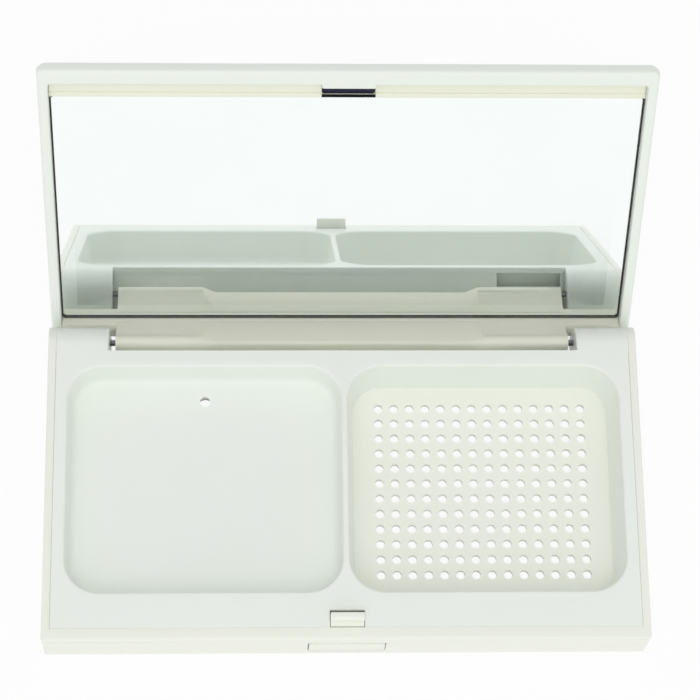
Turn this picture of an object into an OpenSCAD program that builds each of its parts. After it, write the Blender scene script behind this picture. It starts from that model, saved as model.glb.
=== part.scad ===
// Two-well powder compact with a mirrored lid.
// Origin: centre of the underside. +X runs along the width, +Y to the hinge, +Z up.
// The lid is drawn shut over the base and then swung open about the hinge pins.

/* [Case] */
// Width of the case
case_w = 112; // [90:1:140]
// Depth of the case, front to hinge side
case_d = 62.5; // [50:0.5:80]
// Height of the base, underside to deck
base_h = 11; // [10:0.5:16]
// Height of the lid above the parting line
lid_h = 5; // [4.6:0.1:7]
// Radius of the upright corners, seen from above
corner_r = 0.7; // [0.5:0.1:3]
// Gap between the deck and the shut lid
parting_gap = 0.12; // [0.08:0.01:0.3]
// Gap between two mouldings that are assembled together
fit_gap = 0.08; // [0.05:0.01:0.12]

/* [Lower shell] */
// Thickness of the shell's side walls
shell_side = 1.5; // [1.2:0.1:2]
// Thickness of the shell's front wall
shell_front = 2.45; // [2:0.05:3]
// Thickness of the shell's floor
floor_t = 1.1; // [0.9:0.1:1.6]
// How far the floor stands above what the case rests on
foot_h = 0.75; // [0.4:0.05:1]
// Width of the foot that runs round the underside
foot_w = 3; // [2:0.5:4]
// Radius of the lower outer edge
bottom_r = 1.2; // [0.6:0.1:1.6]
// Radius of the upper front edge
rim_r = 0.9; // [0.5:0.1:1.2]

/* [Wells] */
// Width of each well at the deck
well_w = 51.5; // [38:0.5:60]
// Length of each well, front to back
well_l = 44; // [32:0.5:50]
// Deck between the case's front face and the wells
well_front = 9.2; // [9:0.1:11]
// Thickness of the divider between the wells
divider_t = 1.2; // [1:0.1:3]
// Corner radius of the wells at the deck
well_r = 6.6; // [4:0.1:9]
// Depth of the left-hand pan well
pan_depth = 6.5; // [4:0.1:7]
// How far the pan well's walls lean in from deck to floor
pan_draft = 0.5; // [0.1:0.1:1]
// How far the puff well's walls lean in from deck to floor
puff_draft = 1.3; // [0.4:0.1:2]
// Thickness of the well walls, deck and skirt
frame_t = 1.1; // [0.9:0.05:1.3]
// Diameter of the poke hole in the pan well
poke_d = 2; // [1.5:0.1:3]
// Distance from the pan well's rear edge to the poke hole's centre
poke_inset = 4.9; // [3:0.1:12]

/* [Vents] */
// Columns of vent holes
vent_cols = 14; // [6:1:14]
// Rows of vent holes
vent_rows = 12; // [4:1:12]
// Distance between vent centres
vent_pitch = 3; // [2.4:0.1:3]
// Diameter of a vent hole
vent_d = 1.7; // [1:0.1:2]

/* [Hinge] */
// Distance from the hinge axis to the rear face
hinge_inset = 2.85; // [2.6:0.05:3.2]
// Distance from the deck down to the hinge axis
hinge_drop = 4.8; // [4.4:0.1:5.2]
// Diameter of a hinge pin
pin_d = 1.2; // [1:0.1:1.4]
// Length of a hinge pin
pin_l = 9.6; // [8:0.2:11]
// Radial clearance of the pins in the lid's barrels
pin_gap = 0.05; // [0.02:0.01:0.08]
// Radius of the barrels at the ends of the hinge bar
barrel_r = 1.4; // [1.2:0.05:1.6]
// Length of each barrel
barrel_l = 16.5; // [12:0.5:18]
// Length of the ramp from a barrel to the bar's plain middle
ramp_l = 2.4; // [1:0.2:4]
// Width of each ear beside the hinge bar, shell included
ear_w = 11.4; // [10:0.1:13]
// Gap between the hinge bar and each ear
bar_gap = 1.1; // [0.6:0.1:1.5]
// Distance from the hinge axis forward to the recess
recess_front = 3.2; // [3.1:0.05:3.6]
// Play left between the open lid and its stop
stop_gap = 0.04; // [0.03:0.01:0.1]

/* [Lid] */
// Width of the lid's front rim
rim_front = 3; // [2:0.1:3.5]
// Width of the lid's side rims
rim_side = 1.9; // [1.5:0.1:2.5]
// Thickness of the lid cover's skin
cover_t = 0.9; // [0.8:0.05:1.2]
// Radius of the lid's upper edges
lid_r = 3.6; // [2.5:0.1:4]
// Depth of the mirror's face behind the lid's rim
mirror_recess = 2; // [1.8:0.1:3]
// Thickness of the mirror glass
mirror_t = 0.8; // [0.7:0.1:1.2]
// Thickness of the adhesive sheet behind the mirror
tape_t = 0.15; // [0.1:0.05:0.3]
// Width of the grooved strip above the mirror
groove_w = 3.9; // [3.6:0.1:6]
// Distance from the hinge axis to the mirror's lower edge
mirror_foot = 0.4; // [0.2:0.1:1]

/* [Latch] */
// Width of the hook
hook_w = 6.2; // [5:0.1:8]
// Height of the hook above the deck
hook_h = 2; // [1.8:0.1:2.2]
// Thickness of the hook's stem
hook_t = 0.95; // [0.8:0.05:1.1]
// Height of the hook's barb
barb_h = 0.9; // [0.7:0.05:1]
// How far the barb reaches over the catch
barb_reach = 0.5; // [0.4:0.05:0.6]
// How far the button is pressed in to release the lid
latch_travel = 0.8; // [0.6:0.05:0.9]
// Width of the catch ledge in the lid
catch_w = 9.8; // [8:0.1:12]
// Depth of the catch ledge
catch_d = 0.7; // [0.6:0.05:1.5]
// Thickness of the catch ledge
catch_t = 0.85; // [0.7:0.05:0.95]
// Width of the push pad
pad_w = 14; // [10:0.5:20]
// Height of the push pad
pad_h = 5; // [4:0.1:6]
// How far the push pad stands proud of the front face
pad_proud = 0.3; // [0:0.1:0.6]
// Play round the push pad in its window
pad_gap = 0.2; // [0.1:0.05:0.3]

/* [Hidden] */
round_fn = 48;
arc_steps = 8;
past = 1;                                   // how far a cut runs past the face that it opens

front_y = -case_d / 2;
rear_y = case_d / 2;
hinge_y = rear_y - hinge_inset;
hinge_z = base_h - hinge_drop;
floor_z = foot_h + floor_t;
poke_lead = 0.6;                            // how much wider the poke hole is in the shell, all round
rim_z = base_h + parting_gap;               // the shut lid's rim
lid_top = rim_z + lid_h;

well_x = divider_t / 2 + well_w / 2;
well_y = front_y + well_front + well_l / 2;
recess_w = case_w - 2 * ear_w;
bar_w = recess_w - 2 * bar_gap;
recess_y = hinge_y - recess_front;
deck_lip = 0.3;                             // the deck's edge over the recess wall
wall_y = recess_y - deck_lip - frame_t;     // inner face of the recess wall
pin_seat = 0.025;                           // radial clearance of the pins in the ears
pocket_w = 12.7;                            // core pocket in the recess wall, at the right
pocket_h = 3.1;
pocket_inset = 0.7;
pocket_z = hinge_z + 0.8;

// The lid stops where the foot of its rear wall meets the rear face of the ears.
stop_reach = hinge_drop + parting_gap;
open_angle = atan2(stop_reach, hinge_inset)
           + acos((hinge_inset + stop_gap) / norm([stop_reach, hinge_inset]));

frame_x = case_w / 2 - shell_side - fit_gap;    // half width of the inner frame
frame_y = front_y + shell_front + fit_gap;      // front edge of the inner frame

groove_y = front_y + rim_front;                 // front edge of the groove
mirror_z = rim_z + mirror_recess;
mirror_front = groove_y + groove_w;
mirror_rear = hinge_y - mirror_foot;
mirror_x = case_w / 2 - rim_side - 2 * fit_gap;
plate_z = mirror_z + mirror_t + tape_t;         // front of the plate behind the mirror
cavity_r = 1;                                   // upper edges of the space inside the cover
ridge_t = 0.9;                                  // ridge between the groove and the mirror
ridge_h = 0.3;                                  // how far the ridge stands over the groove's floor
tape_margin = 3;

catch_y = groove_y + fit_gap + catch_d;         // rear edge of the catch ledge
catch_drop = 0.05;                              // from the lid's rim to the ledge's face
web_r = 1.2;                                    // rear edge of the hinge bar's foot
web_foot = 0.5;                                 // how far the plain bar reaches past the hinge axis
hook_y = catch_y + fit_gap;                     // front face of the hook's stem
notch_gap = 0.1;
tab_drop = 0.05;                                // from the deck to the tab in front of the hook
notch_y = hook_y + hook_t + latch_travel + notch_gap;
pad_z = (floor_z + base_h - frame_t) / 2 - pad_h / 2;
arm_l = 8;
arm_t = 0.7;
arm_h = 3;
arm_z = pad_z + (pad_h - arm_h) / 2;
// The arms' tips stop short of the pan well's wall by the button's travel.
arm_y = front_y + well_front - frame_t + (base_h - arm_z - arm_h) * pan_draft / pan_depth
      - latch_travel - notch_gap;

shell_white = "#e9ece6";
frame_white = "#e2e6de";
lid_white = "#ebf1e8";
warm_white = "#dddfcb";
steel = "#8f9296";
glass_tint = "#eef6f5";
tape_grey = "#3a3d40";

// Points of an arc, from angle a0 to a1 about c.
function arc(c, r, a0, a1) =
    [for (i = [0:arc_steps]) let (a = a0 + (a1 - a0) * i / arc_steps) c + r * [cos(a), sin(a)]];

// A rectangle from lo to hi whose corners are rounded by r, anticlockwise from the lower right.
function soft_outline(lo, hi, r) = concat(
    arc([hi.x - r[0], lo.y + r[0]], r[0], -90, 0),
    arc([hi.x - r[1], hi.y - r[1]], r[1], 0, 90),
    arc([lo.x + r[2], hi.y - r[2]], r[2], 90, 180),
    arc([lo.x + r[3], lo.y + r[3]], r[3], 180, 270));

// The plan of the case, drawn in by inset on the sides and front, from z0 to z1.
module plan(z0, z1, side = 0, front = 0, rear = 0, r = corner_r)
    translate([0, 0, z0])
        linear_extrude(z1 - z0)
            polygon(soft_outline([side - case_w / 2, front_y + front],
                                 [case_w / 2 - side, rear_y - rear], [r, r, r, r]));

// An outline of the side view, in Y and Z, run across the width w.
module across(w, outline)
    rotate([90, 0, 90])
        translate([0, 0, -w / 2])
            linear_extrude(w) polygon(outline);

// An outline of the front view, in X and Z, run from front to back.
module along(outline)
    translate([0, rear_y + past, 0])
        rotate([90, 0, 0])
            linear_extrude(case_d + 2 * past) polygon(outline);

// A box between two corners.
module box(lo, hi) translate(lo) cube(hi - lo);

// The base's side view: small radii at the front and below, a round nose over the hinge.
base_side = soft_outline([front_y, 0], [rear_y, base_h], [bottom_r / 2, hinge_drop, rim_r, bottom_r]);

// The base's front view, with rounded lower edges.
base_front = soft_outline([-case_w / 2, 0], [case_w / 2, base_h],
                          [bottom_r, rim_r / 2, rim_r / 2, bottom_r]);

// A well's space, from z0 to the deck, leaning in by draft on its way down.
module well(side, z0, depth, draft, grow = 0) {
    lean = draft / depth;
    translate([side * well_x, well_y, 0])
        hull()
            for (z = [z0, base_h + (grow > 0 ? -frame_t / 2 : past)]) {
                in = (base_h - z) * lean - grow;
                translate([0, 0, z])
                    linear_extrude(0.01)
                        polygon(soft_outline([in - well_w / 2, in - well_l / 2],
                                             [well_w / 2 - in, well_l / 2 - in],
                                             [for (i = [0:3]) well_r - in]));
            }
}

// Everything between the ears, past both faces of the base.
module hinge_recess(y = recess_y)
    box([-recess_w / 2, y, -past], [recess_w / 2, rear_y + past, base_h + past]);

// Lower shell: the floor with its vents, the front wall with the button's window, and the sides.
module base_shell() {
    color(shell_white)
        difference() {
            intersection() {
                plan(0, base_h);
                across(case_w + 2 * past, base_side);
                along(base_front);
            }
            box([shell_side - case_w / 2, front_y + shell_front, floor_z],
                [case_w / 2 - shell_side, rear_y + past, base_h + past]);
            hinge_recess(recess_y - deck_lip);
            box([foot_w - case_w / 2, front_y + foot_w, -past],
                [case_w / 2 - foot_w, recess_y - deck_lip - foot_w, foot_h]);
            for (i = [0:vent_cols - 1], j = [0:vent_rows - 1])
                translate([well_x + (i - (vent_cols - 1) / 2) * vent_pitch,
                           well_y + (j - (vent_rows - 1) / 2) * vent_pitch, 0])
                    cylinder(h = floor_z + past, d = vent_d, $fn = round_fn);
            poke_hole(poke_d + 2 * poke_lead, -past, floor_z + past);
            box([-pad_w / 2 - pad_gap, front_y - past, pad_z - pad_gap],
                [pad_w / 2 + pad_gap, front_y + shell_front + past, pad_z + pad_h + pad_gap]);
        }
}

// A round hole near the rear of the pan well, for pushing a spent pan out.
module poke_hole(d, z0, z1)
    translate([-well_x, well_y + well_l / 2 - poke_inset, z0])
        cylinder(h = z1 - z0, d = d, $fn = round_fn);

// Inner frame: the deck, the pan well, the puff well's collar, the ears and the skirt.
module inner_frame() {
    color(frame_white)
        difference() {
            intersection() {
                union() {
                    box([-frame_x, frame_y, base_h - frame_t], [frame_x, rear_y, base_h]);
                    difference() {
                        box([-frame_x, frame_y, floor_z], [frame_x, recess_y, base_h]);
                        box([frame_t - frame_x, frame_y + frame_t, 0],
                            [frame_x - frame_t, wall_y, base_h]);
                        box([-frame_x, recess_y - deck_lip, 0], [frame_x, rear_y, base_h - frame_t]);
                    }
                    for (side = [-1, 1])
                        box([side > 0 ? recess_w / 2 : -frame_x, wall_y, floor_z],
                            [side > 0 ? frame_x : -recess_w / 2, rear_y, base_h]);
                    well(-1, base_h - pan_depth - frame_t, pan_depth, pan_draft, frame_t);
                    well(1, floor_z, base_h - floor_z, puff_draft, frame_t);
                }
                across(case_w, base_side);
            }
            hinge_recess();
            well(-1, base_h - pan_depth, pan_depth, pan_draft);
            well(1, floor_z - 0.02, base_h - floor_z, puff_draft);
            poke_hole(poke_d, 0, base_h);
            box([-hook_w / 2 - notch_gap, frame_y - past, base_h - frame_t - past],
                [hook_w / 2 + notch_gap, notch_y, base_h + past]);
            box([-pad_w / 2 - arm_l, frame_y - past, 0],
                [pad_w / 2 + arm_l, frame_y + frame_t + past, base_h - frame_t]);
            for (side = [-1, 1])
                translate([side * recess_w / 2, hinge_y, hinge_z])
                    rotate([0, side * 90, 0])
                        translate([0, 0, -past])
                            cylinder(h = pin_l / 2 + past, d = pin_d + 2 * pin_seat, $fn = round_fn);
            box([recess_w / 2 - pocket_inset - pocket_w, wall_y - past, pocket_z],
                [recess_w / 2 - pocket_inset, recess_y + past, pocket_z + pocket_h]);
        }
}

// Latch: one moulding with the push pad, the spring arms and the hook that holds the lid.
module latch_button() {
    body_y = frame_y;
    stem_y = hook_y + hook_t;
    color(shell_white) {
        box([-pad_w / 2, front_y - pad_proud, pad_z], [pad_w / 2, body_y, pad_z + pad_h]);
        box([-hook_w / 2, body_y, floor_z + notch_gap], [hook_w / 2, stem_y, pad_z + pad_h]);
        box([-hook_w / 2, hook_y, pad_z + pad_h], [hook_w / 2, stem_y, base_h + hook_h]);
        box([-hook_w / 2, body_y + notch_gap, pad_z + pad_h], [hook_w / 2, hook_y, base_h - tab_drop]);
        across(hook_w, [[hook_y, base_h + hook_h - barb_h], [hook_y - barb_reach, base_h + hook_h - barb_h],
                        [hook_y - barb_reach, base_h + hook_h - barb_h * 0.6], [hook_y, base_h + hook_h]]);
        for (side = [-1, 1])
            translate([0, 0, arm_z])
                linear_extrude(arm_h)
                    polygon([[0, stem_y - arm_t], [0, stem_y], [side * hook_w / 2, stem_y],
                             [side * (hook_w / 2 + arm_l), arm_y],
                             [side * (hook_w / 2 + arm_l), arm_y - arm_t],
                             [side * hook_w / 2, stem_y - arm_t]]);
    }
}

// One hinge pin, half of it in the ear and half in the lid's barrel.
module hinge_pin(side)
    color(steel)
        translate([side * (recess_w - bar_gap) / 2 - pin_l / 2, hinge_y, hinge_z])
            rotate([0, 90, 0])
                cylinder(h = pin_l, d = pin_d, $fn = round_fn);

module hinge_pin_left() hinge_pin(-1);
module hinge_pin_right() hinge_pin(1);

// Swings what is drawn shut to the lid's open position.
module opened()
    translate([0, hinge_y, hinge_z])
        rotate([-open_angle, 0, 0])
            translate([0, -hinge_y, -hinge_z])
                children();

// The lid's outside, or the same drawn in by a wall on each side, with upper edges of radius r.
module lid_body(side = 0, front = 0, rear = 0, top = 0, r = lid_r)
    intersection() {
        plan(rim_z, lid_top - top, side, front, rear, max(corner_r - side, 0.3));
        across(case_w + 2 * past,
               soft_outline([front_y + front, rim_z - lid_r], [rear_y - rear, lid_top - top], [0.1, r, r, 0.1]));
        along(soft_outline([side - case_w / 2, rim_z - lid_r], [case_w / 2 - side, lid_top - top],
                           [0.1, r, r, 0.1]));
    }

// Lid cover: the outer skin, with its rim at the front and sides and the ledge that the hook catches.
module lid_cover() {
    color(lid_white)
        opened() {
            difference() {
                lid_body();
                intersection() {
                    lid_body(rim_side, rim_front, cover_t, cover_t, cavity_r);
                    plan(rim_z - past, lid_top, rim_side, rim_front, cover_t, 0.3);
                }
                translate([0, 0, -past])
                    plan(rim_z, rim_z + past + 0.01, rim_side, rim_front, cover_t, 0.3);
            }
            box([-catch_w / 2, groove_y - past, rim_z + catch_drop],
                [catch_w / 2, catch_y, rim_z + catch_drop + catch_t]);
        }
}

// The bar's middle: a flat web that ends just below the hinge axis.
module web(x0, x1)
    translate([(x0 + x1) / 2, 0, 0])
        across(x1 - x0, concat(
            arc([rear_y - web_r, hinge_z - web_foot + web_r], web_r, -90, 0),
            [[rear_y, rim_z + past], [hinge_y - mirror_foot, rim_z + past]],
            arc([hinge_y - mirror_foot + web_r / 2, hinge_z - web_foot + web_r / 2], web_r / 2, 180, 270)));

// The bar's ends: a web as deep as the barrel, with the barrel's round front.
module barrel(x0, x1)
    translate([(x0 + x1) / 2, 0, 0])
        across(x1 - x0, concat(
            arc([rear_y - web_r, hinge_z - barrel_r + web_r], web_r, -90, 0),
            [[rear_y, rim_z + past], [hinge_y - mirror_foot, rim_z + past],
             [hinge_y - mirror_foot, hinge_z + 2 * barrel_r]],
            arc([hinge_y, hinge_z], barrel_r, 150, 270)));

// Lid frame: the plate behind the mirror, the catch groove and the hinge bar, in one moulding.
module lid_frame() {
    inset = rim_side + fit_gap;
    x = case_w / 2 - inset;
    ridge_y = mirror_front - fit_gap;
    color(warm_white)
        opened()
            difference() {
                union() {
                    intersection() {
                        lid_body(inset, rim_front + fit_gap, cover_t + fit_gap, cover_t + fit_gap, cavity_r);
                        union() {
                            box([-x, front_y, plate_z], [x, rear_y, lid_top]);
                            box([-x, front_y, mirror_z], [x, ridge_y, plate_z]);
                            box([-x, ridge_y - ridge_t, mirror_z - ridge_h], [x, ridge_y, plate_z]);
                            box([-x, mirror_rear + fit_gap, rim_z], [x, rear_y, plate_z]);
                        }
                    }
                    web(barrel_l - bar_w / 2, bar_w / 2 - barrel_l);
                    barrel(-bar_w / 2, barrel_l - bar_w / 2);
                    barrel(bar_w / 2 - barrel_l, bar_w / 2);
                    for (side = [-1, 1])
                        hull() {
                            x = side * (bar_w / 2 - barrel_l);
                            barrel(x - 0.01, x + 0.01);
                            web(x - side * ramp_l - 0.01, x - side * ramp_l + 0.01);
                        }
                }
                // The hook's pocket, behind the ledge, runs back to the mirror's edge.
                box([-catch_w / 2, front_y, rim_z - past], [catch_w / 2, ridge_y + past, plate_z]);
                // The bar passes under the cover's rear wall, not through it.
                box([-x, rear_y - cover_t - fit_gap, rim_z], [x, rear_y + past, rim_z + past + fit_gap]);
                for (side = [-1, 1])
                    translate([side * bar_w / 2, hinge_y, hinge_z])
                        rotate([0, -side * 90, 0])
                            translate([0, 0, -past])
                                cylinder(h = pin_l / 2 + past, d = pin_d + 2 * pin_gap, $fn = round_fn);
            }
}

// Adhesive sheet that holds the mirror to the frame's plate.
module mirror_tape() {
    color(tape_grey)
        opened()
            box([tape_margin - mirror_x, mirror_front + tape_margin, mirror_z + mirror_t],
                [mirror_x - tape_margin, mirror_rear - tape_margin, plate_z]);
}

// Mirror: a flat plate of silvered glass.
module mirror_glass() {
    color(glass_tint)
        opened()
            box([-mirror_x, mirror_front, mirror_z], [mirror_x, mirror_rear, mirror_z + mirror_t]);
}

base_shell();
inner_frame();
latch_button();
hinge_pin_left();
hinge_pin_right();
lid_cover();
lid_frame();
mirror_tape();
mirror_glass();
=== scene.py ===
import bmesh
import bpy
import numpy as np
from mathutils import Matrix, Vector


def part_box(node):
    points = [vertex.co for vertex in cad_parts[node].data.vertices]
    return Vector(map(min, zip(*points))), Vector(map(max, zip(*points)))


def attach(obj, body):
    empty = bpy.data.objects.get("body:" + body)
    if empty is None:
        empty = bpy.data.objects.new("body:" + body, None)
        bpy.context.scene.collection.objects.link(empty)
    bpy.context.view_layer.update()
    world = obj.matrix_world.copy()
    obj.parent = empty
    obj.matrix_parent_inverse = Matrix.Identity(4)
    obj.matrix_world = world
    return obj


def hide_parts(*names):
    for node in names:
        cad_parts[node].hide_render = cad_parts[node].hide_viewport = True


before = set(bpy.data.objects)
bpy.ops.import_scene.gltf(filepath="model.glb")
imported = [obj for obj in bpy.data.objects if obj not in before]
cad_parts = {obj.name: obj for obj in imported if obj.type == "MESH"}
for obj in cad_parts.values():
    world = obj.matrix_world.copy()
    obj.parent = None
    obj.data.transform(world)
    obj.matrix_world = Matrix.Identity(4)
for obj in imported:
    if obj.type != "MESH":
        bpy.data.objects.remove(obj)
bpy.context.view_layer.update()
mm = 0.001

# ---------------------------------------------------------------------------------------------
# Inner frame: one white ABS moulding dropped into the lower shell. It makes the deck, the plain
# pan well, the open collar of the puff well, and the ears and wall round the hinge. It is glossy
# from a polished tool, with soft edges round the wells.

low, high = (np.array(corner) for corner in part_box("inner_frame"))
seam_closed = 0.05 * mm
frame_x, frame_y, floor_z = high[0] + seam_closed, low[1] - seam_closed, low[2]
rear_y, deck_z = high[1], high[2]
nose_r = 4.8 * mm
hinge_inset = 2.85 * mm
hinge = np.array([rear_y - hinge_inset, deck_z - nose_r])
recess_x = 44.6 * mm
recess_front = 3.2 * mm
recess_y = hinge[0] - recess_front
deck_t = 1.1 * mm
well_centre = np.array([26.35, -0.05]) * mm
well_half = np.array([25.75, 22.0]) * mm
well_r = 6.6 * mm
pan_lean, puff_lean = 0.5 * mm, 1.3 * mm
pan_floor_z = deck_z - 6.5 * mm
poke_centre = np.array([-26.35, 17.05]) * mm
poke_r = 1.0 * mm
notch_x, notch_y = 3.2 * mm, -25.54 * mm


def linear(hex_colour):
    """An sRGB hex colour as linear red, green, blue and alpha, by the sRGB curve."""
    c = np.array([int(hex_colour[i:i + 2], 16) for i in (1, 3, 5)]) / 255
    c = np.where(c <= 0.04045, c / 12.92, ((c + 0.055) / 1.055) ** 2.4)
    return (*c.tolist(), 1)


def node(tree, kind, links=(), **settings):
    """One shader node, with its settings, its sockets' values and its incoming links."""
    made = tree.nodes.new(kind)
    for name, value in settings.items():
        if name in made.inputs:
            made.inputs[name].default_value = value
        else:
            setattr(made, name, value)
    for socket, source in dict(links).items():
        tree.links.new(source, made.inputs[socket])
    return made


def moulded_abs(name, colour, deep, roughness):
    """Moulded ABS from a polished tool: bright and glossy, but not a mirror. The wide flow marks in
    its tint are 18 mm across, the flatness errors of its skin 3 mm and its rub marks 0.35 mm."""
    material = bpy.data.materials.new(name)
    material.use_nodes = True
    tree = material.node_tree
    shader = tree.nodes["Principled BSDF"]
    shader.inputs["IOR"].default_value = 1.5
    place = node(tree, "ShaderNodeTexCoord").outputs["Object"]
    flow = node(tree, "ShaderNodeTexNoise", {"Vector": place}, Scale=1 / (18 * mm), Detail=2.0)
    rub = node(tree, "ShaderNodeTexNoise", {"Vector": place}, Scale=1 / (0.35 * mm), Detail=3.0)
    skin = node(tree, "ShaderNodeTexNoise", {"Vector": place}, Scale=1 / (3 * mm), Detail=1.0)
    tint = node(tree, "ShaderNodeMix", {"Factor": flow.outputs["Fac"]}, data_type="RGBA")
    tint.inputs["A"].default_value = linear(deep)
    tint.inputs["B"].default_value = linear(colour)
    gloss = node(tree, "ShaderNodeMapRange", {"Value": rub.outputs["Fac"]})
    gloss.inputs["To Min"].default_value = roughness * 0.85
    gloss.inputs["To Max"].default_value = roughness * 1.2
    bump = node(tree, "ShaderNodeBump", {"Height": skin.outputs["Fac"]},
                Strength=0.04, Distance=0.05 * mm)
    tree.links.new(tint.outputs["Result"], shader.inputs["Base Color"])
    tree.links.new(gloss.outputs["Result"], shader.inputs["Roughness"])
    tree.links.new(bump.outputs["Normal"], shader.inputs["Normal"])
    return material


def rounded_rectangle(angle, centre, half, r):
    """Where rays at these angles from the centre cross a rectangle with rounded corners.

    A ray meets the straight sides at the smaller of half-width over |cos| and half-depth over |sin|.
    If that point lies in a corner, it moves in to the corner's arc, which the ray crosses at
    b + sqrt(b*b - c), where b is the ray's run along the arc's centre and c is that centre's squared
    distance less r squared."""
    ray = np.stack([np.cos(angle), np.sin(angle)], 1)
    far = 1 / np.max(np.abs(ray) / half, axis=1)
    arc = np.sign(ray) * (half - r)
    b = np.sum(ray * arc, axis=1)
    c = np.sum(arc * arc, axis=1) - r * r
    in_corner = np.all(np.abs(ray * far[:, None]) > half - r, axis=1)
    far = np.where(in_corner, b + np.sqrt(np.maximum(b * b - c, 0)), far)
    return centre + ray * far[:, None]


def straight_outline(angle, centre, corners):
    """Where rays at these angles from the centre cross a straight-sided outline round it.

    Each corner has its own angle about the centre, so a ray lies between two corners, and crosses
    the line that joins them."""
    corners = np.array(corners) - centre
    at = np.arctan2(corners[:, 1], corners[:, 0])
    corners, at = corners[np.argsort(at)], np.sort(at)
    k = np.searchsorted(at, angle + 1e-9, side="right") - 1
    a, b = corners[k], corners[(k + 1) % len(corners)]
    ray = np.stack([np.cos(angle), np.sin(angle)], 1)
    side = b - a
    crossed = ray[:, 0] * side[:, 1] - ray[:, 1] * side[:, 0]
    far = (a[:, 0] * side[:, 1] - a[:, 1] * side[:, 0]) / crossed
    return centre + ray * far[:, None]


def turn_about(centre, corners, half=None, r=0, steps=480):
    """Angles for one turn about a centre: an even turn, with the exact angle of each corner, and of
    both ends of each rounded corner's arc."""
    marks = [np.arctan2(y - centre[1], x - centre[0]) for x, y in corners]
    if half is not None:
        marks += [np.arctan2(sy * (half[1] - dy), sx * (half[0] - dx))
                  for sx in (-1, 1) for sy in (-1, 1) for dx, dy in ((r, 0), (0, r))]
    even = np.linspace(-np.pi, np.pi, steps, endpoint=False)
    clear = [min((abs(a - mark) for mark in marks), default=1) > 0.004 for a in even]
    return np.unique(np.round(np.concatenate([even[clear], marks]), 9))


def level(loop, z):
    """A flat loop of points at height z."""
    return np.column_stack([loop, np.full(len(loop), z)])


def closed_skin(name, loops, ends="joined"):
    """A closed mesh of quads between each loop of points and the next.

    All loops have as many points and close on themselves. The last loop joins the first, which makes
    a ring, or each end loop is closed by triangles about its middle. The volume by the divergence
    theorem is negative where the faces point inwards, and then they are turned."""
    rows = np.array(loops)
    count, around = rows.shape[:2]
    points = rows.reshape(-1, 3)
    k = np.arange(around)
    faces = []
    for band in range(count if ends == "joined" else count - 1):
        here, there = band * around, (band + 1) % count * around
        faces.append(np.stack([here + k, here + (k + 1) % around, there + (k + 1) % around, there + k], 1))
    faces = np.concatenate(faces).tolist()
    if ends == "capped":
        points = np.vstack([points, rows[0].mean(0), rows[-1].mean(0)])
        first, last, end = len(points) - 2, len(points) - 1, (count - 1) * around
        faces += np.stack([np.full(around, first), (k + 1) % around, k], 1).tolist()
        faces += np.stack([np.full(around, last), end + k, end + (k + 1) % around], 1).tolist()
    mesh = bpy.data.meshes.new(name)
    mesh.from_pydata(points.tolist(), [], faces)
    built = bmesh.new()
    built.from_mesh(mesh)
    if built.calc_volume(signed=True) < 0:
        mesh.flip_normals()
    built.free()
    piece = bpy.data.objects.new(name, mesh)
    bpy.context.scene.collection.objects.link(piece)
    return piece


def finish_piece(piece, body, replaced, material, degrees=32):
    """Smooth shading except over sharp edges, the material, and the body that the piece rides on."""
    piece.data.materials.clear()
    piece.data.materials.append(material)
    bpy.context.view_layer.objects.active = piece
    piece.select_set(True)
    bpy.ops.object.shade_smooth_by_angle(angle=np.radians(degrees))
    piece.select_set(False)
    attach(piece, body)
    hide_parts(replaced)


# A cool white with a soft gloss: broad highlights on the lips, gentle shading in the wells.
frame_abs = moulded_abs("inner_frame_abs", "#f5faf4", "#f2f8f0", 0.32)
lip_r = 0.45 * mm
edge_r = 0.1 * mm
heel_r = 1.4 * mm
ear_edge = 0.35 * mm
tiny = 1e-7


def well_loop(inset):
    """The outline of the well in hand, at the angles in hand, drawn in by inset."""
    return rounded_rectangle(angle, centre, well_half - inset, well_r - inset)


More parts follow.
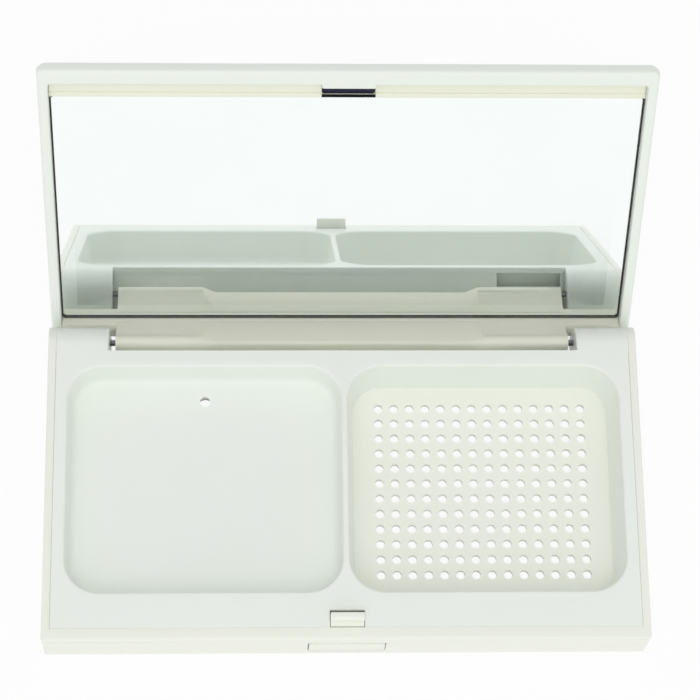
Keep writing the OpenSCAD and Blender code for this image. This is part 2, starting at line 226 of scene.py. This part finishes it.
for side in (-1, 1):
    # the deck on this side of the divider, round its well, without the ear
    centre = well_centre * (side, 1)
    outline = [(0, notch_y), (side * notch_x, notch_y), (side * notch_x, frame_y),
               (side * frame_x, frame_y), (side * frame_x, recess_y), (side * recess_x, recess_y),
               (0, recess_y)]
    angle = turn_about(centre, outline, well_half, well_r)
    edge = straight_outline(angle, centre, outline)
    to_ear = (edge[:, 1] > recess_y - tiny) & (np.abs(edge[:, 0]) > recess_x - tiny)
    plain = (np.abs(edge[:, 0]) < tiny) | to_ear
    softened = np.where(plain[:, None], edge, edge + (centre - edge) * 0.004)
    bottom = pan_floor_z if side < 0 else floor_z
    lean = pan_lean if side < 0 else puff_lean
    depth = deck_z - bottom
    lip = well_loop(-lip_r)
    loops = [level(edge, deck_z - deck_t), level(edge, deck_z - edge_r), level(softened, deck_z)]
    loops += [level(softened + (lip - softened) * t, deck_z) for t in (0.35, 0.7)]
    loops += [level(well_loop(-lip_r * (1 - np.sin(t))), deck_z - lip_r * (1 - np.cos(t)))
              for t in np.linspace(0, np.pi / 2, 7)]
    straight = depth - (heel_r if side < 0 else 0)
    loops += [level(well_loop(lean * d / depth), deck_z - d) for d in np.linspace(lip_r, straight, 5)[1:]]
    if side < 0:
        heel_inset = lean * straight / depth
        loops += [level(well_loop(heel_inset + heel_r * (1 - np.cos(t))), bottom + heel_r * (1 - np.sin(t)))
                  for t in np.linspace(0, np.pi / 2, 9)[1:]]
        hole = poke_centre + poke_r * np.stack([np.cos(angle), np.sin(angle)], 1)
        flat = loops[-1][:, :2]
        loops += [level(flat + (hole - flat) * t, bottom) for t in (0.3, 0.6, 0.85, 0.97)]
        loops += [level(hole, bottom - 0.1 * mm), level(hole, bottom - deck_t)]
        loops += [level(well_loop(lean + heel_r), bottom - deck_t)]
        loops += [level(well_loop(lean - deck_t), bottom - deck_t + heel_r)]
    else:
        loops += [level(well_loop(lean - deck_t), bottom)]
    loops += [level(well_loop(-deck_t), deck_z - deck_t)]
    deck = closed_skin("deck_with_pan_well" if side < 0 else "deck_with_puff_well", loops)
    finish_piece(deck, "base", "inner_frame", frame_abs)

    # the ear: its side view, with the round nose over the hinge, carried across its width
    turn = np.linspace(0, np.pi / 2, 24)
    nose = np.stack([rear_y - nose_r + nose_r * np.cos(turn), deck_z - nose_r + nose_r * np.sin(turn)], 1)
    view = np.vstack([[(rear_y, floor_z)], nose, [(recess_y, deck_z), (recess_y, floor_z)]])
    middle = (view.max(0) + view.min(0)) / 2
    loops = []
    for t in np.linspace(0, np.pi / 2, 6):
        shrink = 1 - ear_edge * (1 - np.sin(t)) / (np.ptp(view, 0) / 2)
        x = recess_x + ear_edge * (1 - np.cos(t))
        loops.append(np.column_stack([np.full(len(view), side * x), middle + (view - middle) * shrink]))
    loops.append(np.column_stack([np.full(len(view), side * frame_x), view]))
    ear = closed_skin("hinge_ear_left" if side < 0 else "hinge_ear_right", loops, "capped")
    finish_piece(ear, "base", "inner_frame", frame_abs)

# the recess wall under the deck's rear edge, with the core pocket at its right
wall_y = recess_y - 0.3 * mm
wall_top = deck_z - 0.9 * mm
pocket_edge = 0.15 * mm
pocket = np.array([(31.2, 7.0), (43.9, 7.0), (43.9, 10.05), (31.2, 10.05)]) * mm
wall = [(-recess_x, floor_z), (recess_x, floor_z), (recess_x, wall_top), (-recess_x, wall_top)]
centre = pocket.mean(0)
angle = turn_about(centre, np.vstack([pocket, wall]), steps=60)
rim = straight_outline(angle, centre, wall)
mouth = straight_outline(angle, centre, pocket)
sides = ((rim, wall_y), (mouth + (mouth - centre) * 0.02, wall_y), (mouth, wall_y - pocket_edge),
         (mouth, wall_y - deck_t), (rim, wall_y - deck_t))
loops = [np.column_stack([loop[:, 0], np.full(len(loop), y), loop[:, 1]]) for loop, y in sides]
recess_wall = closed_skin("recess_wall", loops)
finish_piece(recess_wall, "base", "inner_frame", frame_abs)

# ---------------------------------------------------------------------------------------------
# Lower shell: the outer ABS tub, with a foot round its underside, the vents in its floor and the
# window for the push pad. The inner frame drops into it. It keeps the frame's form, with its long
# edges broken as a mould leaves them.


def edged_copy(name, source, broken, shortest=1.2 * mm, sharp=40):
    """A copy of a frame node's form with its loose triangles joined and its flats made whole. Edges
    over the shortest length, and sharper than so many degrees, are rounded over the broken width."""
    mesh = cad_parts[source].data.copy()
    mesh.name = name
    form = bmesh.new()
    form.from_mesh(mesh)
    bmesh.ops.remove_doubles(form, verts=form.verts, dist=0.002 * mm)
    bmesh.ops.dissolve_limit(form, angle_limit=np.radians(0.5), verts=form.verts, edges=form.edges)
    edges = [e for e in form.edges if len(e.link_faces) == 2 and e.calc_length() > shortest
             and e.calc_face_angle(0) > np.radians(sharp)]
    if broken:
        bmesh.ops.bevel(form, geom=edges, offset=broken, offset_type="OFFSET", segments=2, profile=0.5,
                        affect="EDGES", clamp_overlap=True, loop_slide=False)
    form.to_mesh(mesh)
    form.free()
    piece = bpy.data.objects.new(name, mesh)
    bpy.context.scene.collection.objects.link(piece)
    return piece


# A slightly warmer white of the same gloss, which lets the seam round the deck show.
shell_abs = moulded_abs("lower_shell_abs", "#f8faf1", "#f5f8ec", 0.32)
broken_edge = 0.12 * mm
shell = edged_copy("lower_shell", "base_shell", broken_edge)
finish_piece(shell, "base", "base_shell", shell_abs)

# ---------------------------------------------------------------------------------------------
# Latch: one ABS moulding of the shell's white, with the push pad in the front wall's window, two
# arms that spring it back out, and the hook that holds the lid's ledge. It lies loose between the
# shell and the inner frame, and slides in when pressed.

latch = edged_copy("latch_with_hook", "latch_button", broken_edge, shortest=0.3 * mm)
finish_piece(latch, "latch", "latch_button", shell_abs)

# ---------------------------------------------------------------------------------------------
# Hinge pins: two short lengths of ground steel wire. Each is held in an ear of the base, and turns
# in the barrel at its end of the lid's hinge bar.

# Ground steel: grey and dull, with fine lines along the wire that draw the highlight out.
pin_steel = bpy.data.materials.new("ground_pin_steel")
pin_steel.use_nodes = True
tree = pin_steel.node_tree
shader = tree.nodes["Principled BSDF"]
shader.inputs["Base Color"].default_value = linear("#6f7072")
shader.inputs["Metallic"].default_value = 1.0
place = node(tree, "ShaderNodeTexCoord").outputs["Object"]
along = node(tree, "ShaderNodeMapping", {"Vector": place}, Scale=(1, 12, 12))
grinding = node(tree, "ShaderNodeTexNoise", {"Vector": along.outputs["Vector"]}, Scale=1 / (0.4 * mm))
rough = node(tree, "ShaderNodeMapRange", {"Value": grinding.outputs["Fac"]})
rough.inputs["To Min"].default_value = 0.25
rough.inputs["To Max"].default_value = 0.45
tree.links.new(rough.outputs["Result"], shader.inputs["Roughness"])
for side in ("left", "right"):
    pin = edged_copy("pin_" + side, "hinge_pin_" + side, 0)
    finish_piece(pin, "base", "hinge_pin_" + side, pin_steel)

# ---------------------------------------------------------------------------------------------
# Lid cover: the outer ABS moulding of the lid, with a plain rim, large soft outer edges, and the ledge
# that the hook holds, moulded inside its front rim. It is worked out as it lies when shut, and then
# swung open about the hinge, until the foot of its rear wall meets the ears.

case_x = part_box("lid_cover")[1][0]
case_y = rear_y
parting_gap = 0.12 * mm
lid_h = 5.0 * mm
cover_t = 0.9 * mm
plan_r = 0.7 * mm
stop_gap = 0.04 * mm
rim_z = deck_z + parting_gap
lid_top = rim_z + lid_h
drop = rim_z - hinge[1]
open_angle = (np.arctan2(drop, hinge_inset)
              + np.arccos((hinge_inset + stop_gap) / np.hypot(drop, hinge_inset)))


def swung_open(loops):
    """Loops drawn shut, turned backwards about the hinge by the angle at which the lid stops."""
    c, s = np.cos(-open_angle), np.sin(-open_angle)
    points = np.array(loops)
    y, z = points[..., 1] - hinge[0], points[..., 2] - hinge[1]
    return np.stack([points[..., 0], hinge[0] + c * y - s * z, hinge[1] + s * y + c * z], -1)


# The deck's cool white and gloss, a shade greener.
lid_abs = moulded_abs("lid_cover_abs", "#f4faf2", "#f1f8ef", 0.32)
angle = turn_about((0, 0), [], np.array([case_x, case_y]), plan_r, 640)
top_r = 3.6 * mm


def cover_loop(inset, z):
    """The cover's outline at height z, drawn in by inset."""
    half = np.array([case_x, case_y]) - inset
    return level(rounded_rectangle(angle, np.zeros(2), half, plan_r), z)


rim_front = 3.0 * mm
rim_side = 1.9 * mm
hollow_r = 0.6 * mm
hollow_low = np.array([-case_x + rim_side, -case_y + rim_front])
hollow_high = np.array([case_x - rim_side, case_y - cover_t])


def hollow_loop(inset, z):
    """The hollow's outline at height z, drawn in by inset."""
    half = (hollow_high - hollow_low) / 2
    return level(rounded_rectangle(angle, (hollow_low + hollow_high) / 2, half - inset, hollow_r), z)


rim_edge = 0.25 * mm
outer_edge = 0.6 * mm
quarter = np.linspace(0, np.pi / 2, 7)
ceiling_z = lid_top - cover_t
loops = [hollow_loop(20 * mm, ceiling_z), hollow_loop(hollow_r, ceiling_z)]
loops += [hollow_loop(0, ceiling_z - hollow_r), hollow_loop(0, rim_z + rim_edge)]
loops += [hollow_loop(-rim_edge * (1 - np.cos(t)), rim_z + rim_edge * (1 - np.sin(t)))
          for t in quarter[1:]]
loops += [cover_loop(outer_edge * (1 - np.sin(t)), rim_z + outer_edge * (1 - np.cos(t)))
          for t in quarter]
loops += [cover_loop(top_r * (1 - np.cos(t)), lid_top - top_r + top_r * np.sin(t))
          for t in np.linspace(0, np.pi / 2, 17)]
loops += [cover_loop(12 * mm, lid_top), cover_loop(24 * mm, lid_top)]
cover = closed_skin("lid_outer_cover", swung_open(loops), "capped")
finish_piece(cover, "lid", "lid_cover", lid_abs)

ledge_half = np.array([4.9, 1.2]) * mm
ledge_rear = -27.47 * mm
ledge_middle = np.array([0, ledge_rear - ledge_half[1]])
ledge_z = rim_z + 0.02 * mm
ledge_top = rim_z + 0.9 * mm
ledge_edge = 0.15 * mm
ledge_r = 0.2 * mm
angle = turn_about((0, 0), [], ledge_half, ledge_r, 96)


def ledge_loop(inset, z):
    """The ledge's outline at height z, drawn in by inset."""
    return level(rounded_rectangle(angle, ledge_middle, ledge_half - inset, ledge_r), z)


loops = [ledge_loop(ledge_edge * (1 - np.sin(t)), ledge_z + ledge_edge * (1 - np.cos(t)))
         for t in np.linspace(0, np.pi / 2, 5)]
loops += [ledge_loop(0, ledge_top)]
ledge = closed_skin("catch_ledge", swung_open(loops), "capped")
finish_piece(ledge, "lid", "lid_cover", lid_abs)

# ---------------------------------------------------------------------------------------------
# Lid frame: the inner moulding, of a warmer white than the rest. It has the groove with its ridge,
# the pocket that the hook enters, and the hinge bar with its two barrels. It is fixed in the cover.

# A creamy white, a little duller than the cover, which sets it off from the rim round it.
warm_abs = moulded_abs("lid_frame_warm_abs", "#f7f7e8", "#f4f5e3", 0.34)
lid_frame = edged_copy("lid_inner_frame", "lid_frame", 0.1 * mm, shortest=0.8 * mm)
finish_piece(lid_frame, "lid", "lid_frame", warm_abs)

# ---------------------------------------------------------------------------------------------
# Adhesive sheet: double-sided black foam tape, which lies behind the mirror and fixes it to the
# lid's inner frame.

# Foam tape: matt and nearly black, with 0.3 mm cells that break up any shine.
foam = bpy.data.materials.new("black_foam_tape")
foam.use_nodes = True
tree = foam.node_tree
shader = tree.nodes["Principled BSDF"]
shader.inputs["Base Color"].default_value = linear("#26282a")
shader.inputs["Roughness"].default_value = 0.85
place = node(tree, "ShaderNodeTexCoord").outputs["Object"]
cells = node(tree, "ShaderNodeTexVoronoi", {"Vector": place}, Scale=1 / (0.3 * mm))
bump = node(tree, "ShaderNodeBump", {"Height": cells.outputs["Distance"]},
            Strength=0.3, Distance=0.05 * mm)
tree.links.new(bump.outputs["Normal"], shader.inputs["Normal"])
tape = edged_copy("adhesive_sheet", "mirror_tape", 0)
finish_piece(tape, "lid", "mirror_tape", foam)

# ---------------------------------------------------------------------------------------------
# Mirror: a plate of float glass, silvered on its back and painted black round its ground edges. It is
# stuck to the lid's inner frame by the adhesive sheet. The glass bends the view, so that its lower
# edge shows as a black line from above.

# Float glass: clear, with a second faint reflection off its face and a wide, very slight tint.
glass = bpy.data.materials.new("float_glass")
glass.use_nodes = True
tree = glass.node_tree
shader = tree.nodes["Principled BSDF"]
place = node(tree, "ShaderNodeTexCoord").outputs["Object"]
melt = node(tree, "ShaderNodeTexNoise", {"Vector": place}, Scale=1 / (25 * mm))
tint = node(tree, "ShaderNodeMix", {"Factor": melt.outputs["Fac"]}, data_type="RGBA")
tint.inputs["A"].default_value = linear("#fcfffd")
tint.inputs["B"].default_value = linear("#feffff")
tree.links.new(tint.outputs["Result"], shader.inputs["Base Color"])
shader.inputs["Roughness"].default_value = 0.0
shader.inputs["IOR"].default_value = 1.52
shader.inputs["Transmission Weight"].default_value = 1.0

# Silvering: the bright, sharp reflection, with a hardly visible unevenness of the coat.
silver = bpy.data.materials.new("silver_behind_glass")
silver.use_nodes = True
tree = silver.node_tree
shader = tree.nodes["Principled BSDF"]
place = node(tree, "ShaderNodeTexCoord").outputs["Object"]
coat = node(tree, "ShaderNodeTexNoise", {"Vector": place}, Scale=1 / (12 * mm))
tint = node(tree, "ShaderNodeMix", {"Factor": coat.outputs["Fac"]}, data_type="RGBA")
tint.inputs["A"].default_value = linear("#fafdfc")
tint.inputs["B"].default_value = linear("#fcfffe")
tree.links.new(tint.outputs["Result"], shader.inputs["Base Color"])
shader.inputs["Metallic"].default_value = 1.0
shader.inputs["Roughness"].default_value = 0.0

# Edge paint: a matt black outline, brushed on unevenly over the ground edge.
edge_paint = bpy.data.materials.new("black_edge_paint")
edge_paint.use_nodes = True
tree = edge_paint.node_tree
shader = tree.nodes["Principled BSDF"]
place = node(tree, "ShaderNodeTexCoord").outputs["Object"]
brushing = node(tree, "ShaderNodeTexNoise", {"Vector": place}, Scale=1 / (0.5 * mm))
tint = node(tree, "ShaderNodeMix", {"Factor": brushing.outputs["Fac"]}, data_type="RGBA")
tint.inputs["A"].default_value = linear("#161817")
tint.inputs["B"].default_value = linear("#202221")
tree.links.new(tint.outputs["Result"], shader.inputs["Base Color"])
shader.inputs["Roughness"].default_value = 0.6

mirror_x, mirror_front, mirror_rear = 53.94 * mm, -24.35 * mm, 28.0 * mm
mirror_half = np.array([mirror_x, (mirror_rear - mirror_front) / 2])
mirror_middle = np.array([0, (mirror_rear + mirror_front) / 2])
mirror_recess = 2.0 * mm
mirror_r = 0.4 * mm
face_z = rim_z + mirror_recess
glass_t = 0.8 * mm
angle = turn_about((0, 0), [], mirror_half, mirror_r, 0)


def glass_loop(inset, z):
    """The glass's outline at height z, drawn in by inset."""
    return level(rounded_rectangle(angle, mirror_middle, mirror_half - inset, mirror_r), z)


ground = 0.1 * mm
loops = [glass_loop(ground, face_z), glass_loop(0, face_z + ground), glass_loop(0, face_z + glass_t)]
mirror = closed_skin("mirror_plate", swung_open(loops), "capped")
finish_piece(mirror, "lid", "mirror_glass", glass)
mirror.data.materials.append(silver)
mirror.data.materials.append(edge_paint)
# by bands: the ground edge and the side are painted, the front is glass, and the back is silvered
kinds = np.repeat([2, 2, 0, 1], len(angle))
mirror.data.polygons.foreach_set("material_index", kinds.astype(np.int32))
mirror.data.polygons.foreach_set("use_smooth", np.zeros(len(kinds), bool))

# ---------------------------------------------------------------------------------------------
# Painted shade in the hook pocket: a dark blue sheet at the bottom of the pocket that the hook snaps into.
# It keeps the outer cover from showing light there, and paints the pocket's shade as the dark slot under
# the ledge.

# Painted shade: a dark blue, half matt sheet, so that the pocket reads as a dark slot.
pocket_shade_paint = bpy.data.materials.new("navy_painted_pocket_shade")
pocket_shade_paint.use_nodes = True
tree = pocket_shade_paint.node_tree
shader = tree.nodes["Principled BSDF"]
shader.inputs["Roughness"].default_value = 0.55
place = node(tree, "ShaderNodeTexCoord").outputs["Object"]
grain = node(tree, "ShaderNodeTexNoise", {"Vector": place}, Scale=1 / (0.15 * mm))
tint = node(tree, "ShaderNodeMix", {"Factor": grain.outputs["Fac"]}, data_type="RGBA")
tint.inputs["A"].default_value = linear("#1d1b31")
tint.inputs["B"].default_value = linear("#2b2a45")
tree.links.new(tint.outputs["Result"], shader.inputs["Base Color"])
# the sheet of painted shade: its size, and its place at the bottom of the pocket
shade_sheet_half = np.array([4.85, 1.8]) * mm
shade_sheet_rear = -24.5 * mm
shade_sheet_middle = np.array([0, shade_sheet_rear - shade_sheet_half[1]])
shade_sheet_r = 0.4 * mm
shade_sheet_z = face_z + 0.84 * mm
shade_sheet_t = 0.09 * mm
shade_sheet_edge = 0.05 * mm
angle = turn_about((0, 0), [], shade_sheet_half, shade_sheet_r, 64)
loops = [level(rounded_rectangle(angle, shade_sheet_middle, shade_sheet_half - inset, shade_sheet_r), z)
         for inset, z in ((shade_sheet_edge, shade_sheet_z), (0, shade_sheet_z + shade_sheet_t / 3), (0, shade_sheet_z + shade_sheet_t))]
shade_sheet = closed_skin("hook_pocket_painted_shade", swung_open(loops), "capped")
finish_piece(shade_sheet, "lid", "mirror_tape", pocket_shade_paint)

# ---------------------------------------------------------------------------------------------
# Studio: a plain white sheet under the compact, soft light from all round, and a camera above it
# with a long lens. The camera's place is given from the hinge line: its distance, its elevation, its
# turn to one side and its roll.

distance = 499.7 * mm
elevation = np.radians(69.966)
turn = np.radians(6.91)
roll = np.radians(6.47)
aim = Vector((1.45 * mm, hinge[0] - 1.3 * mm, hinge[1] - 0.41 * mm))
forward = Vector((np.sin(turn) * np.cos(elevation), np.cos(turn) * np.cos(elevation), -np.sin(elevation)))
level_right = Vector((np.cos(turn), -np.sin(turn), 0))
rise = level_right.cross(forward)
right = level_right * np.cos(roll) + rise * np.sin(roll)
up = rise * np.cos(roll) - level_right * np.sin(roll)
place = aim - distance * forward
camera = bpy.data.objects.new("camera", bpy.data.cameras.new("camera"))
bpy.context.scene.collection.objects.link(camera)
camera.matrix_world = Matrix([(right[i], up[i], -forward[i], place[i]) for i in range(3)] + [(0, 0, 0, 1)])
camera.data.sensor_width = 36
camera.data.lens = 133.56
camera.data.clip_start = 0.01
bpy.context.scene.camera = camera


def seen_white(tree, plain, bright):
    """Shows the bright shader to the camera, to reflections and through glass, else the plain one."""
    path = node(tree, "ShaderNodeLightPath")
    eye, mirrored = path.outputs["Is Camera Ray"], path.outputs["Is Glossy Ray"]
    either = node(tree, "ShaderNodeMath", {0: eye, 1: mirrored}, operation="MAXIMUM")
    seen = node(tree, "ShaderNodeMath", {0: either.outputs[0], 1: path.outputs["Is Transmission Ray"]},
                operation="MAXIMUM")
    return node(tree, "ShaderNodeMixShader", {0: seen.outputs[0], 1: plain, 2: bright})


world = bpy.data.worlds.new("studio")
bpy.context.scene.world = world
world.use_nodes = True
tree = world.node_tree
dim = tree.nodes["Background"]
dim.inputs["Color"].default_value = (1, 1, 1, 1)
dim.inputs["Strength"].default_value = 0.63
white = node(tree, "ShaderNodeBackground", Color=(1, 1, 1, 1), Strength=1.0)
mixed = seen_white(tree, dim.outputs[0], white.outputs[0])
tree.links.new(mixed.outputs[0], tree.nodes["World Output"].inputs["Surface"])

sheet = bpy.data.meshes.new("white_sheet")
sheet.from_pydata([(-3, -3, 0), (3, -3, 0), (3, 3, 0), (-3, 3, 0)], [], [(0, 1, 2, 3)])
floor = bpy.data.objects.new("white_sheet", sheet)
bpy.context.scene.collection.objects.link(floor)
# White paper: matt, with only the compact's soft shadow on it.
paper = bpy.data.materials.new("white_paper")
paper.use_nodes = True
tree = paper.node_tree
shader = tree.nodes["Principled BSDF"]
shader.inputs["Base Color"].default_value = linear("#f6f7f6")
shader.inputs["Roughness"].default_value = 0.9
glow = node(tree, "ShaderNodeEmission", Color=(1, 1, 1, 1), Strength=1.0)
shaded = node(tree, "ShaderNodeMixShader", {1: glow.outputs[0], 2: shader.outputs[0]}, Fac=0.08)
mixed = seen_white(tree, shader.outputs[0], shaded.outputs[0])
tree.links.new(mixed.outputs[0], tree.nodes["Material Output"].inputs["Surface"])
sheet.materials.append(paper)

for name, at, size, power in (("front_softbox", (0.0, -1.0, 0.45), 1.6, 2.6),
                              ("overhead_softbox", (-0.04, -0.33, 0.95), 0.7, 2.2)):
    lamp = bpy.data.objects.new(name, bpy.data.lights.new(name, "AREA"))
    lamp.data.shape = "SQUARE"
    lamp.data.size = size
    lamp.data.energy = power
    lamp.visible_glossy = False
    lamp.location = at
    lamp.rotation_euler = (-Vector(at)).to_track_quat("-Z", "Y").to_euler()
    bpy.context.scene.collection.objects.link(lamp)

bpy.context.scene.view_settings.view_transform = "Standard"
